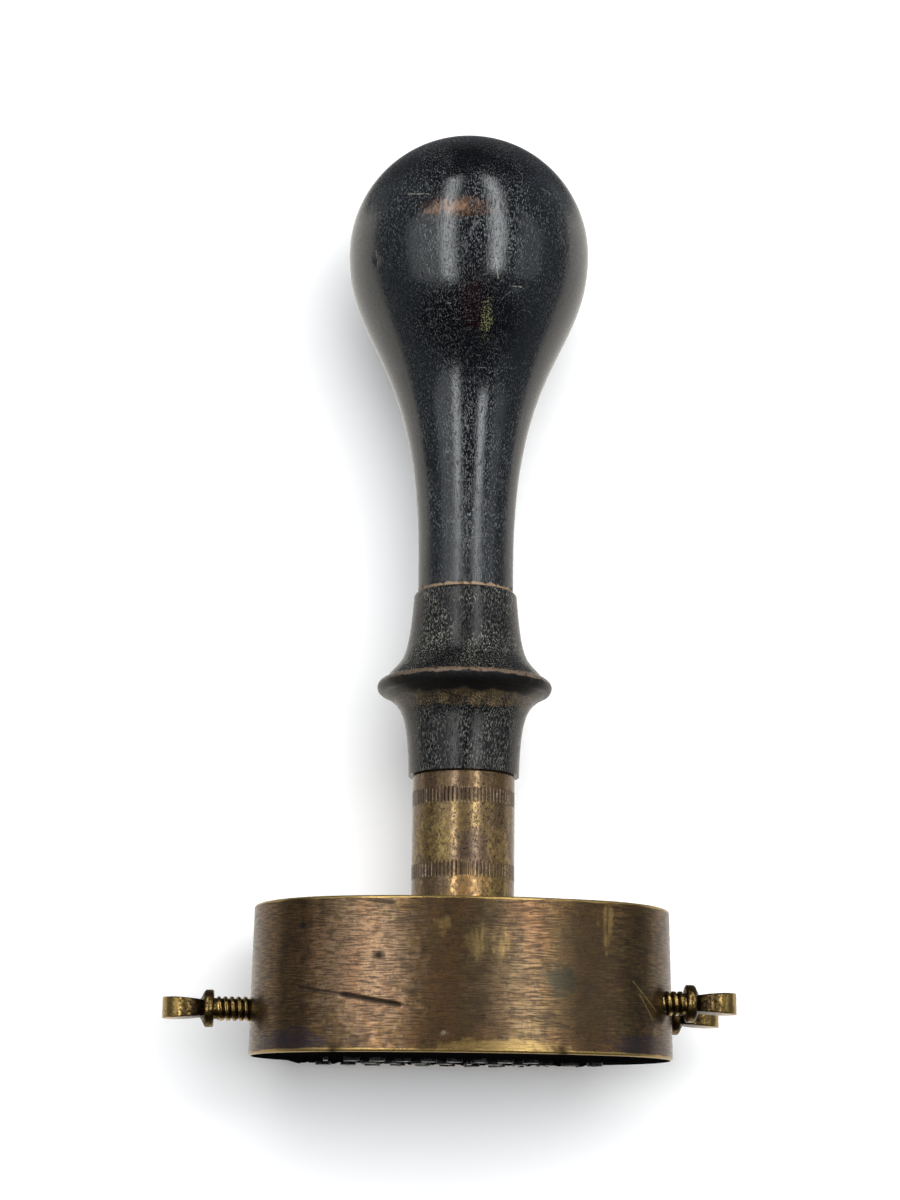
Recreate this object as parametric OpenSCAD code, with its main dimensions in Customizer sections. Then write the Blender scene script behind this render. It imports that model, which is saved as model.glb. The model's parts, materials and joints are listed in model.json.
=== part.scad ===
// Hand stamp: an oval brass holder for three lines of movable type on a turned wooden handle.
// The origin is the middle of the printing faces, which the stamp stands on.
// +Z runs up the handle, +X along the lines of type, and the front is -Y.

/* [Head] */
// Length of the oval head at its rim
head_l = 67.4; // [64:0.2:70]
// Width of the oval head at its rim
head_w = 47; // [42:0.5:52]
// Height of the head from rim to deck
head_h = 23.6; // [20:0.1:30]
// Radius of the two ends of the oval
head_end_r = 16; // [14:0.25:19]
// Draft of the head's wall in degrees, which narrows it towards the deck
head_draft = 1; // [0:0.25:2]
// Width of the worn edges round the rim and the deck
head_edge = 0.35; // [0.1:0.05:0.8]
// Thickness of the deck above the type channels
deck_t = 4; // [3.5:0.25:6]

/* [Channels] */
// Distance between the middles of neighbouring lines of type
line_pitch = 8; // [7:0.25:9]
// Width of a type channel
channel_w = 5; // [4.4:0.1:5.6]
// Distance from the head's middle to the closed end that each line is set against
line_stop = 26; // [24:0.25:27]
// Distance from the head's middle to the screw end of the front and rear channels
outer_end = 24; // [22:0.25:26]
// Distance from the head's middle to the screw end of the middle channel
middle_end = 28; // [26:0.25:29]

/* [Type] */
// Number of sorts in the front line and in the rear line
outer_sorts = 9; // [6:1:10]
// Number of sorts in the middle line
middle_sorts = 10; // [7:1:11]
// Width of one sort along its line
sort_w = 4; // [3:0.1:4.4]
// Length of the front line and of the rear line, spaces included
outer_line_l = 40.6; // [39.6:0.1:43]
// Length of the middle line, spaces included
middle_line_l = 45.2; // [44.5:0.1:48]
// How far the printing faces stand below the head's rim
type_proud = 0.9; // [0.5:0.1:1.4]
// Height of a raised face above the shoulder of its sort
face_h = 1.4; // [1:0.1:2]
// Width of the shoulder round a raised face
shoulder_w = 0.5; // [0.3:0.05:0.8]
// How far a space stays above the printing faces
space_rise = 4; // [2:0.25:6]
// Radius of the nick along the front of each sort
nick_r = 0.6; // [0.3:0.05:0.9]
// Height of the nick above the printing faces
nick_z = 14; // [8:0.5:16]
// Side clearance of the type in its channel
type_fit = 0.1; // [0.05:0.01:0.2]

/* [Thumbscrews] */
// Height of the front screw above the head's rim
front_screw_rise = 8.7; // [7:0.1:10]
// Height of the middle line's screw above the head's rim
middle_screw_rise = 7.3; // [7:0.1:10]
// Height of the rear screw above the head's rim
rear_screw_rise = 7.6; // [7:0.1:10]
// Outer diameter of the thread
thread_d = 3.85; // [3:0.05:4.4]
// Length of thread between the head and the collar of the front and rear screws
outer_show = 3.15; // [1:0.05:5]
// Length of thread between the head and the collar of the middle screw
middle_show = 5.6; // [1:0.05:7]
// Diameter of the nose that turns in the shoe
nose_d = 2.4; // [1.6:0.1:2.8]
// Length of that nose
nose_l = 1.8; // [1:0.1:2.2]
// Diameter of the collar
collar_disc_d = 5.9; // [5:0.1:7]
// Thickness of the collar's rim
collar_disc_t = 1.25; // [0.8:0.05:2]
// Length of the cone from the collar down to the waist
collar_cone_l = 0.75; // [0.4:0.05:1.2]
// Diameter of the waist between collar and thumb piece
waist_d = 2.7; // [2.2:0.1:3]
// Diameter of the flat round thumb piece
thumb_d = 7; // [6:0.1:9]
// Thickness of the thumb piece
thumb_t = 3.3; // [3.1:0.1:4.5]
// Width of the worn edges of the thumb piece
thumb_edge = 0.5; // [0.2:0.05:0.8]
// Distance from the collar's cone to the tip of the thumb piece
thumb_reach = 6.1; // [5:0.1:8]

/* [Clamp shoes] */
// Thickness of a shoe along its line
shoe_t = 3; // [2.6:0.1:4]
// Height of a shoe
shoe_h = 13; // [8:0.5:13.5]

/* [Post] */
// Diameter of the brass post
post_d = 16.6; // [14:0.1:19]
// Height of the post above the deck
post_h = 21.6; // [18:0.1:28]
// Height of the lower milled band above the deck
low_band_z = 5.7; // [3:0.1:8]
// Height of the upper milled band above the deck
high_band_z = 17.6; // [13:0.1:18]
// Width of a milled band
band_w = 2.1; // [1:0.1:3]
// Depth of a milled band
band_depth = 0.12; // [0.05:0.01:0.3]
// Diameter of the tenon under the post
tenon_d = 10; // [8:0.25:12]
// Length of the tenon, which sits in the deck
tenon_l = 2.8; // [1.5:0.1:3.2]
// Width of the edge round the top of the post
post_edge = 0.25; // [0.1:0.05:0.5]

/* [Handle] */
// Diameter of the iron tang that joins post, collar and grip
tang_d = 7; // [5:0.25:8]
// Depth of the tang in the post
tang_in_post = 14; // [8:0.5:17]
// Depth of the tang in the grip, above the seam
tang_in_grip = 28; // [18:0.5:40]
// Height of the collar from the post up to the seam
collar_h = 30.4; // [27:0.1:36]
// Diameter of the foot of the collar
collar_foot_d = 18; // [17:0.1:20]
// Height of the flange's edge above the post
flange_z = 14.6; // [12.5:0.1:17]
// Diameter of the flange
flange_d = 28.6; // [25:0.1:33]
// Radius of the flange's rounded edge
flange_edge_r = 1.2; // [0.8:0.05:1.5]
// Diameter of the collar's shoulder at the seam
shoulder_d = 17; // [16.2:0.1:18.5]
// Radius of the collar's rounded shoulder
shoulder_r = 0.7; // [0.3:0.05:0.9]
// Diameter of the grip's spigot in the collar
spigot_d = 11.6; // [10:0.1:13]
// Length of that spigot
spigot_l = 6; // [4:0.25:9]
// Diameter of the neck of the grip
neck_d = 15.7; // [14.5:0.1:16.5]
// Length of the straight part of the neck above the seam
neck_l = 5; // [2:0.25:9]
// Diameter of the palm bulb
bulb_d = 40.7; // [36:0.1:46]
// Height of the bulb's middle above the seam
bulb_rise = 59.3; // [54:0.1:70]
// How far the bulb's fullness is carried down before the grip draws in
bulb_pull = 16.6; // [12:0.2:20]
// How far the neck's slimness is carried up
neck_pull = 35.6; // [26:0.2:38]

/* [Fits] */
// Radial clearance of turning and sliding fits
fit = 0.05; // [0.02:0.01:0.09]
// Gap between faces that only meet, on pieces that move apart
seat = 0.05; // [0.02:0.01:0.2]

/* [Hidden] */
round_fn = 64;
head_fn = 240;
profile_steps = 20;

// Pulls of the collar's two coves: steps outwards in millimetres, and shares of each cove's fall
shoulder_lean = 0.9;
shoulder_hold = 0.86;
cove_reach = 2.7;
cove_rise = 0.26;
under_reach = 2.4;
under_drop = 0.15;
foot_lean = 0.25;
foot_hold = 0.85;

// Heights above the printing faces
rim_z = type_proud;
deck_z = rim_z + head_h;
channel_top_z = deck_z - deck_t;
foot_z = channel_top_z - seat;
post_top_z = deck_z + post_h;
seam_z = post_top_z + collar_h;
bulb_z = seam_z + bulb_rise;

// The oval is four arcs: two ends of head_end_r, and two sides tangent to them
end_x = head_l / 2 - head_end_r;
side_less_end = head_w / 2 - head_end_r;
side_y = (end_x * end_x - side_less_end * side_less_end) / (2 * side_less_end);
side_r = head_w / 2 + side_y;
arc_turn = atan2(side_y, end_x);

// The three lines: name, place across the head, side of the screw, sorts, set length, screw end and height
line_name = ["front", "middle", "rear"];
line_y = [-line_pitch, 0, line_pitch];
line_side = [1, -1, 1];
line_sorts = [outer_sorts, middle_sorts, outer_sorts];
line_l = [outer_line_l, middle_line_l, outer_line_l];
line_end = [outer_end, middle_end, outer_end];
line_show = [outer_show, middle_show, outer_show];
screw_z = [rim_z + front_screw_rise, rim_z + middle_screw_rise, rim_z + rear_screw_rise];
type_w = channel_w - 2 * type_fit;

// Distances along a line, measured from the head's middle towards its screw
line_start = -line_stop + seat;
function space_w(line) = (line_l[line] - line_sorts[line] * sort_w) / 2;
function shoe_start(line) = line_start + line_l[line] + seat;
function wall_x(line) = end_x + sqrt(head_end_r * head_end_r - line_y[line] * line_y[line]);

brass = "#6d5834";
worn_brass = "#8f7238";
black_wood = "#211e20";
dusty_wood = "#2f2a25";
iron = "#5c5a58";
inked_metal = "#26262a";

// Points along a cubic curve
function curve_point(p, t) =
    pow(1 - t, 3) * p[0] + 3 * pow(1 - t, 2) * t * p[1] + 3 * (1 - t) * t * t * p[2] + pow(t, 3) * p[3];
function curve(p, steps = profile_steps) = [for (i = [0:steps]) curve_point(p, i / steps)];

// Points along an arc
function arc(centre, r, from, to, steps = profile_steps) =
    [for (i = [0:steps]) let (a = from + (to - from) * i / steps) centre + r * [cos(a), sin(a)]];

module turned(points, fn = round_fn) {
    rotate_extrude($fn = fn) polygon(points);
}

// A rod along +X from x = from to x = to
module rod_x(d, from, to) {
    translate([from, 0, 0]) rotate([0, 90, 0]) cylinder(d = d, h = to - from, $fn = round_fn);
}

// Places a line's pieces: x is then the distance from the head's middle towards its screw
module on_line(line) {
    translate([0, line_y[line], 0]) mirror([line_side[line] < 0 ? 1 : 0, 0, 0]) children();
}

// The bulb is half a ball, and the grip draws in below it to the neck and the spigot
module handle_grip() {
    bulb_r = bulb_d / 2;
    neck_z = seam_z + neck_l;
    color(black_wood) difference() {
        turned(concat(
            arc([0, bulb_z], bulb_r, 90, 0),
            curve([[bulb_r, bulb_z], [bulb_r, bulb_z - bulb_pull],
                   [neck_d / 2, neck_z + neck_pull], [neck_d / 2, neck_z]]),
            [[neck_d / 2, seam_z], [spigot_d / 2, seam_z],
             [spigot_d / 2, seam_z - spigot_l], [0, seam_z - spigot_l]]
        ));
        translate([0, 0, seam_z - spigot_l - seat])
            cylinder(d = tang_d + 2 * fit, h = spigot_l + tang_in_grip + 2 * seat, $fn = round_fn);
    }
}

// A rounded shoulder, a cove down to the flange, and a second cove down to the foot
module handle_collar() {
    flange_mid = [flange_d / 2 - flange_edge_r, post_top_z + flange_z];
    flange_top = flange_mid + [0, flange_edge_r];
    flange_under = flange_mid - [0, flange_edge_r];
    shoulder = [shoulder_d / 2, seam_z - shoulder_r];
    foot = [collar_foot_d / 2, post_top_z];
    upper_fall = shoulder[1] - flange_top[1];
    lower_fall = flange_under[1] - foot[1];
    color(dusty_wood) difference() {
        turned(concat(
            [[0, post_top_z], [0, seam_z]],
            arc(shoulder - [shoulder_r, 0], shoulder_r, 90, 0, 6),
            curve([shoulder, shoulder + [shoulder_lean, -shoulder_hold * upper_fall],
                   flange_top + [-cove_reach, cove_rise * upper_fall], flange_top]),
            arc(flange_mid, flange_edge_r, 90, -90, 10),
            curve([flange_under, flange_under - [under_reach, under_drop * lower_fall],
                   foot + [foot_lean, foot_hold * lower_fall], foot])
        ));
        translate([0, 0, seam_z - spigot_l - seat])
            cylinder(d = spigot_d + 2 * fit, h = spigot_l + 2 * seat, $fn = round_fn);
        translate([0, 0, post_top_z - seat])
            cylinder(d = tang_d + 2 * fit, h = collar_h, $fn = round_fn);
    }
}

// The tang stands on the floor of the post's socket
module tang() {
    color(iron) translate([0, 0, post_top_z - tang_in_post])
        cylinder(d = tang_d, h = tang_in_post + collar_h + tang_in_grip, $fn = round_fn);
}

// The post has two milled bands, a socket for the tang and a tenon in the deck
module post() {
    r = post_d / 2;
    band = [r - band_depth, r];
    function band_points(z) = [
        [band[1], z - band_w / 2], [band[0], z - band_w / 2 + band_depth],
        [band[0], z + band_w / 2 - band_depth], [band[1], z + band_w / 2]];
    color(brass) difference() {
        turned(concat(
            [[0, deck_z - tenon_l], [tenon_d / 2, deck_z - tenon_l], [tenon_d / 2, deck_z], [r, deck_z]],
            band_points(deck_z + low_band_z),
            band_points(deck_z + high_band_z),
            [[r, post_top_z - post_edge], [r - post_edge, post_top_z], [0, post_top_z]]
        ));
        translate([0, 0, post_top_z - tang_in_post])
            cylinder(d = tang_d + 2 * fit, h = tang_in_post + seat, $fn = round_fn);
    }
}

// A drafted wall of radius r at the rim, turned about its own centre
module head_turning(centre, r) {
    draft = tan(head_draft);
    translate(centre) turned([
        [0, rim_z], [r - head_edge, rim_z], [r, rim_z + head_edge],
        [r - draft * (head_h - head_edge), deck_z - head_edge],
        [r - draft * (head_h - head_edge) - head_edge, deck_z], [0, deck_z]], head_fn);
}

// Two round ends, and two sides that lap each other, kept between the lines where the arcs are tangent
module head_blank() {
    reach = head_l;
    out = reach * [cos(arc_turn), sin(arc_turn)];
    lap = side_less_end / 2;
    lap_x = end_x * (1 - lap / side_y);
    for (s = [-1, 1]) {
        head_turning([s * end_x, 0], head_end_r);
        intersection() {
            head_turning([0, -s * side_y], side_r);
            translate([0, 0, rim_z - 1]) linear_extrude(head_h + 2)
                polygon([[-lap_x, -s * lap], [lap_x, -s * lap],
                         [end_x + out[0], s * out[1]], [-end_x - out[0], s * out[1]]]);
        }
    }
}

// Three channels open below, a threaded hole into each, and a socket for the post's tenon
module head() {
    color(brass) difference() {
        head_blank();
        for (line = [0:2]) on_line(line) {
            translate([-line_stop, -channel_w / 2, rim_z - 1])
                cube([line_stop + line_end[line], channel_w, channel_top_z - rim_z + 1]);
            translate([0, 0, screw_z[line]]) rod_x(thread_d + 2 * fit, line_end[line] - 1, head_l);
        }
        translate([0, 0, deck_z - tenon_l - seat])
            cylinder(d = tenon_d + 2 * fit, h = tenon_l + 2, $fn = round_fn);
    }
}

// Nose, shank, collar with its cone, waist, and the flat round thumb piece
module thumbscrew(line) {
    shoe_back = shoe_start(line) + shoe_t;
    collar_x = wall_x(line) + line_show[line];
    cone_x = collar_x + collar_disc_t;
    waist_x = cone_x + collar_cone_l;
    thumb_r = thumb_d / 2;
    thumb_x = waist_x + thumb_reach - thumb_r;
    color(worn_brass) on_line(line) translate([0, 0, screw_z[line]]) {
        rod_x(nose_d, shoe_back - nose_l, shoe_back + 1);
        rod_x(thread_d, shoe_back + seat, collar_x + collar_disc_t / 2);
        rotate([0, 90, 0]) turned([
            [0, collar_x], [collar_disc_d / 2, collar_x], [collar_disc_d / 2, cone_x],
            [waist_d / 2, waist_x], [0, waist_x]]);
        rod_x(waist_d, cone_x, thumb_x);
        translate([thumb_x, 0, 0]) turned([
            [0, -thumb_t / 2], [thumb_r - thumb_edge, -thumb_t / 2], [thumb_r, thumb_edge - thumb_t / 2],
            [thumb_r, thumb_t / 2 - thumb_edge], [thumb_r - thumb_edge, thumb_t / 2], [0, thumb_t / 2]]);
    }
}

// A block that the screw pushes along the channel against its line
module clamp_shoe(line) {
    x = shoe_start(line);
    color(brass) on_line(line) difference() {
        translate([x, -type_w / 2, screw_z[line] - shoe_h / 2]) cube([shoe_t, type_w, shoe_h]);
        translate([0, 0, screw_z[line]]) rod_x(nose_d + 2 * fit, x + shoe_t - nose_l - seat, x + shoe_t + 1);
    }
}

// A low block that fills a line at one of its ends
module type_space(line, end) {
    x = end == "stop" ? line_start : line_start + line_l[line] - space_w(line);
    color(inked_metal) on_line(line)
        translate([x, -type_w / 2, space_rise]) cube([space_w(line), type_w, foot_z - space_rise]);
}

// A body with a nick along its front, and a raised printing face below its shoulder
module type_sort(line, i) {
    x = line_start + space_w(line) + (i - 1) * sort_w;
    color(inked_metal) on_line(line) {
        difference() {
            translate([x, -type_w / 2, face_h]) cube([sort_w, type_w, foot_z - face_h]);
            translate([0, -type_w / 2, nick_z]) rod_x(2 * nick_r, x - 1, x + sort_w + 1);
        }
        translate([x + shoulder_w, shoulder_w - type_w / 2, 0])
            cube([sort_w - 2 * shoulder_w, type_w - 2 * shoulder_w, face_h + 1]);
    }
}

handle_grip();
handle_collar();
tang();
post();
head();
for (line = [0:2]) {
    thumbscrew(line);
    clamp_shoe(line);
    for (end = ["stop", "screw"])
        type_space(line, end);
    for (i = [1:line_sorts[line]])
        type_sort(line, i);
}
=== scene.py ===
"""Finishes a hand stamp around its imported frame: turned black wood, aged brass, inked type.

Every length is in metres, in the part's frame: +Z runs up the handle, +X along the lines
of type, and the front is -Y. The stamp lies on its back on a white table, as photographed.
"""

import inspect
import json
import math
from functools import partialmethod

import bmesh
import bpy
import numpy as np
from bpy.props import FloatProperty, FloatVectorProperty, IntProperty, PointerProperty
from mathutils import Matrix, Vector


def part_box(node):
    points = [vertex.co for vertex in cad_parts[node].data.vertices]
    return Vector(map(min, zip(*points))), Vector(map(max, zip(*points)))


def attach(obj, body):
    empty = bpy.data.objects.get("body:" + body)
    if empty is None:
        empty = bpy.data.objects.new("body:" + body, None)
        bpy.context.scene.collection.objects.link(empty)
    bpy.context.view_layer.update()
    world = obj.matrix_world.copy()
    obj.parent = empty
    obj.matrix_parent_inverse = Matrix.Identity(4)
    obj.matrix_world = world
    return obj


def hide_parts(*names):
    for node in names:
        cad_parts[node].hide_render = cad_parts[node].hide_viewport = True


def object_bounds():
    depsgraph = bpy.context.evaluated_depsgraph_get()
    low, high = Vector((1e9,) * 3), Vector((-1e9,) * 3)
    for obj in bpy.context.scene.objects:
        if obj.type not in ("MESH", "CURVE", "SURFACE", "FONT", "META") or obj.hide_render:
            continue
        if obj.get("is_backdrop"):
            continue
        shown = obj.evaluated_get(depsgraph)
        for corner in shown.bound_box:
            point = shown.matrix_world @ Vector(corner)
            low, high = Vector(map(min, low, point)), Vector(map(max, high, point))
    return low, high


bl_info = {
    "name": "Hand stamp finish",
    "version": (1, 0, 0),
    "blender": (4, 5, 0),
    "location": "3D View > Sidebar > Hand stamp",
    "description": "Builds the finished surfaces of a hand stamp around its packed frame",
    "category": "Object",
}

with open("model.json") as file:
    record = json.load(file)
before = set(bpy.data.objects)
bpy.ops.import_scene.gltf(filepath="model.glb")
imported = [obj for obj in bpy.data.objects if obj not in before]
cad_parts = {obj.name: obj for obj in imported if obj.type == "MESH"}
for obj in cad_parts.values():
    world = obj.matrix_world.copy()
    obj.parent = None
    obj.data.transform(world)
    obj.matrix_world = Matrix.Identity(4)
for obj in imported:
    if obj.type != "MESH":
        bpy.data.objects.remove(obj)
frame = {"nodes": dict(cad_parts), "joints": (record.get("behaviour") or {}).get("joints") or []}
cad_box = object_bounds()

MM = 0.001
ORIGIN = (0.0, 0.0, 0.0)
LINES = ("front", "middle", "rear")
LINE_SIDE = {"front": 1, "middle": -1, "rear": 1}
FIGURES = {"front": "123456789", "middle": "0246813579", "rear": "987654321"}

GRIP, COLLAR, POST, HEAD, TANG = (
    np.array(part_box(node)) for node in ("handle_grip", "handle_collar", "post", "head", "tang")
)
POST_TOP_Z, SEAM_Z = COLLAR[:, 2]
RIM_Z, DECK_Z = HEAD[:, 2]

# Room between a bore and what sits in it, the tang's bore and the post's tenon
GAP = 0.05 * MM
BORE_R = (TANG[1, 0] - TANG[0, 0]) / 2 + GAP
TENON_R = 5.0 * MM


def length(name, description, millimetres, least=0.0):
    """A length in metres whose default is given in millimetres."""
    return FloatProperty(
        name=name, description=description, default=millimetres * MM, min=least, precision=5, unit="LENGTH"
    )


def angle(name, description, degrees):
    """An angle in radians whose default is given in degrees."""
    return FloatProperty(name=name, description=description, default=math.radians(degrees), subtype="ANGLE")


def share(name, description, value):
    """A share from 0 to 1."""
    return FloatProperty(name=name, description=description, default=value, min=0.0, max=1.0, subtype="FACTOR")


def colour(name, description, red, green, blue):
    """An opaque colour in linear light."""
    return FloatVectorProperty(
        name=name, description=description, default=(red, green, blue, 1.0), size=4, min=0.0, max=1.0, subtype="COLOR"
    )


class StampHandle(bpy.types.PropertyGroup):
    """Sizes and colours of the turned handle."""

    neck_d: length("Neck", "Diameter of the grip's neck", 15.7)
    neck_l: length("Neck length", "Straight part of the neck above the seam", 5.0)
    bulb_pull: length("Bulb fullness", "How far the bulb's fullness is carried down", 16.6)
    neck_pull: length("Neck slimness", "How far the neck's slimness is carried up", 35.6)
    spigot_d: length("Spigot", "Diameter of the grip's spigot in the collar", 11.6)
    chip: length("Chips", "Depth of the chips along the grip's lower edge", 0.55)
    shoulder_d: length("Shoulder", "Diameter of the collar at the seam", 17.0)
    shoulder_r: length("Shoulder radius", "Radius of the collar's rounded shoulder", 0.7)
    foot_d: length("Foot", "Diameter of the collar's foot", 18.0)
    flange_z: length("Flange height", "Height of the flange's edge above the post", 14.6)
    flange_edge_r: length("Flange edge", "Radius of the flange's rounded edge", 1.2)
    black: colour("Black polish", "Colour of the polished wood", 0.0011, 0.0013, 0.0020)
    worn: colour("Worn wood", "Brown that shows where the polish is rubbed", 0.16, 0.075, 0.036)
    tan: colour("Bare wood", "Bare wood in chips and on the flange's edge", 0.33, 0.22, 0.125)
    dust: colour("Dust", "Dust and fine wear on the polish", 0.175, 0.184, 0.190)


class StampBrass(bpy.types.PropertyGroup):
    """Sizes and colours of the brass post, head and screws."""

    tick_count: IntProperty(name="Milled ticks", description="Cuts round each milled band", default=76, min=8, max=160)
    tick_depth: length("Tick depth", "Depth of the milled cuts", 0.22)
    band_w: length("Band", "Width of a milled band", 2.3)
    low_band_z: length("Lower band", "Height of the lower band above the deck", 5.7)
    high_band_z: length("Upper band", "Height of the upper band above the deck", 17.6)
    head_end_r: length("End radius", "Radius of the two ends of the oval", 20.0)
    head_flat: length("Flat sides", "How far the front and back lie inside the solid's", 1.3)
    head_edge: length("Head edge", "Width of the worn edges of the head", 0.4)
    head_draft: angle("Draft", "Draft of the head's wall", 1.0)
    line_pitch: length("Line pitch", "Distance between neighbouring lines", 8.0)
    channel_w: length("Channel", "Width of a type channel", 5.0)
    thread_pitch: length("Thread pitch", "Advance of a screw in one turn", 1.05)
    thread_depth: length("Thread depth", "Depth of the thread", 0.38)
    gold: colour("Bright brass", "Brass where it is rubbed bright", 0.42, 0.285, 0.095)
    olive: colour("Aged brass", "Brass of the post", 0.250, 0.168, 0.056)
    brown: colour("Brown patina", "Patina of the head", 0.110, 0.060, 0.021)
    dark: colour("Dark tarnish", "Darkest tarnish and grime", 0.024, 0.016, 0.011)
    violet: colour("Violet tarnish", "Heat-coloured tarnish by the rim", 0.036, 0.030, 0.046)


class StampType(bpy.types.PropertyGroup):
    """Sizes and colours of the type and its ink."""

    figure_w: length("Figure width", "Width of a raised figure", 2.5)
    figure_h: length("Figure height", "Height of a raised figure across its line", 3.7)
    face_h: length("Face", "Height of a figure above its shoulder", 1.4)
    nick_r: length("Nick", "Radius of the nick along a sort", 0.6)
    nick_z: length("Nick height", "Height of the nick above the printing faces", 14.0)
    crust: length("Ink crust", "Thickest dried ink under the rim", 0.62)
    ink: colour("Ink", "Dried black ink", 0.006, 0.006, 0.007)
    lead: colour("Type metal", "Bare type metal", 0.16, 0.16, 0.165)


class StampStage(bpy.types.PropertyGroup):
    """Camera, table and lights."""

    lens: FloatProperty(name="Lens", description="Focal length on a 36 mm sensor", default=75.0, unit="CAMERA")
    distance: length("Distance", "Camera's distance from the handle's axis", 403.094)
    aside: length("Aside", "Camera's place across", -2.557, least=-1.0)
    height: length("Height", "Camera's place above the faces", -16.629, least=-1.0)
    tilt: angle("Tilt", "How far the camera looks up", 12.887)
    roll: angle("Roll", "How far the camera is rolled", 0.654)
    turn: angle("Turn", "How far the camera goes round the handle", -4.081)
    table_y: length("Table", "Distance of the table behind the handle's axis", 22.4)
    table: colour("Table", "Colour of the table", 0.86, 0.86, 0.86)
    glow: share("Table glow", "Light that the camera sees the table add", 0.17)
    room: colour("Room", "Dim room between the windows", 0.070, 0.080, 0.095)
    wall: colour("Walls", "Lit walls to the left and right", 0.20, 0.225, 0.255)
    shade: colour("Shade", "Dark below the windows", 0.012, 0.012, 0.014)
    pale: colour("Pale side", "Side of the white table, behind", 1.0, 0.96, 0.89)


# Shapes on grids of points


def arc(centre, r, start, end, steps):
    """Points (r cos a, r sin a) about a centre, with a in degrees from start to end."""
    a = np.radians(np.linspace(start, end, steps + 1))
    return np.column_stack([centre[0] + r * np.cos(a), centre[1] + r * np.sin(a)])


def cubic(p0, p1, p2, p3, steps):
    """Points of the cubic Bezier curve with these four control points."""
    t = np.linspace(0.0, 1.0, steps + 1)[:, None]
    return (1 - t) ** 3 * p0 + 3 * (1 - t) ** 2 * t * p1 + 3 * (1 - t) * t**2 * p2 + t**3 * p3


def ripple(theta, seed, low, high):
    """A sum of sines of low to high waves a turn with fixed phases, over the root of their number."""
    waves = np.arange(low, high + 1)
    phase = np.random.default_rng(seed).uniform(0.0, 2 * np.pi, len(waves))
    total = np.sin(np.multiply.outer(theta, waves) + phase).sum(-1)
    return total / np.sqrt(len(waves))


def lumps(x, y, size):
    """Sines of x and y, bent by each other, from 0 to 1; size is about one lump across."""
    u, v = 2 * np.pi * x / size, 2 * np.pi * y / size
    bent = np.sin(0.71 * u + 1.9 * np.sin(0.43 * v + 0.4)) + np.sin(0.83 * v + 1.7 * np.sin(0.37 * u + 1.1))
    return np.clip(0.5 + 0.25 * (bent + 0.6 * np.sin(1.63 * u + 2.1 * np.sin(1.21 * v))), 0.0, 1.0)


def raised(flat, z):
    """A grid of points (x, y) carried to the height z."""
    return np.concatenate([flat, np.broadcast_to(z, (*flat.shape[:-1], 1))], -1)


def turned(profile, columns):
    """Grid of (r cos t, r sin t, z): each (r, z) of the profile is carried round the Z axis."""
    t = np.linspace(0.0, 2 * np.pi, columns, endpoint=False)
    r, z = np.array(profile).T[:, :, None, None]
    return raised(r * np.column_stack([np.cos(t), np.sin(t)]), z)


def around(points):
    """Each point's angle about the Z axis."""
    return np.arctan2(points[..., 1], points[..., 0])


def towards_axis(points):
    """Unit vectors from each point straight towards the Z axis."""
    flat = points * (-1.0, -1.0, 0.0)
    return flat / np.maximum(np.linalg.norm(flat, axis=-1, keepdims=True), 1e-9)


def pressed(points, inward, marks):
    """Moves points along inward by depth * exp(-(d / size)^2), d from each mark's centre, in millimetres."""
    moved, hurt = points.copy(), np.zeros(points.shape[:2])
    for centre, size, depth in marks:
        away = np.linalg.norm(points - np.array(centre) * MM, axis=-1) / (size * MM)
        fall = np.exp(-(away**2))
        moved = moved + inward * (depth * MM * fall)[..., None]
        hurt = np.maximum(hurt, fall)
    return moved, hurt


def scored(points, inward, paths, keep):
    """Moves points along inward by grooves on paths seen from the front: depth * exp(-(d / width)^2)."""
    hurt, seen = np.zeros(points.shape[:2]), points[..., [0, 2]]
    for path, width, depth in paths:
        for start, end in zip(path, path[1:]):
            a, b = np.array(start) * MM, np.array(end) * MM
            along = np.clip(((seen - a) @ (b - a)) / ((b - a) @ (b - a)), 0.0, 1.0)
            off = np.linalg.norm(seen - (a + along[..., None] * (b - a)), axis=-1) / (width * MM)
            hurt = np.maximum(hurt, np.exp(-(off**2)) * depth * keep)
    return points + inward * (hurt * MM)[..., None], np.clip(hurt * 6, 0, 1)


def merged(*values):
    """All the values in order, each kept once to a tenth of a micrometre."""
    return np.unique(np.round(np.concatenate(values), 7))


def grid(points, grime=0.0, finish=0, closed=True):
    """One grid as (vertices, quads, grime, finish); a closed one joins its last column to its first."""
    rows, columns = points.shape[:2]
    i, j = np.meshgrid(np.arange(rows - 1), np.arange(columns if closed else columns - 1), indexing="ij")
    i2, j2 = i + 1, (j + 1) % columns
    quads = np.stack([i * columns + j, i2 * columns + j, i2 * columns + j2, i * columns + j2], -1)
    return points.reshape(-1, 3), quads.reshape(-1, 4), np.broadcast_to(grime, (rows, columns)).reshape(-1), finish


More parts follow.
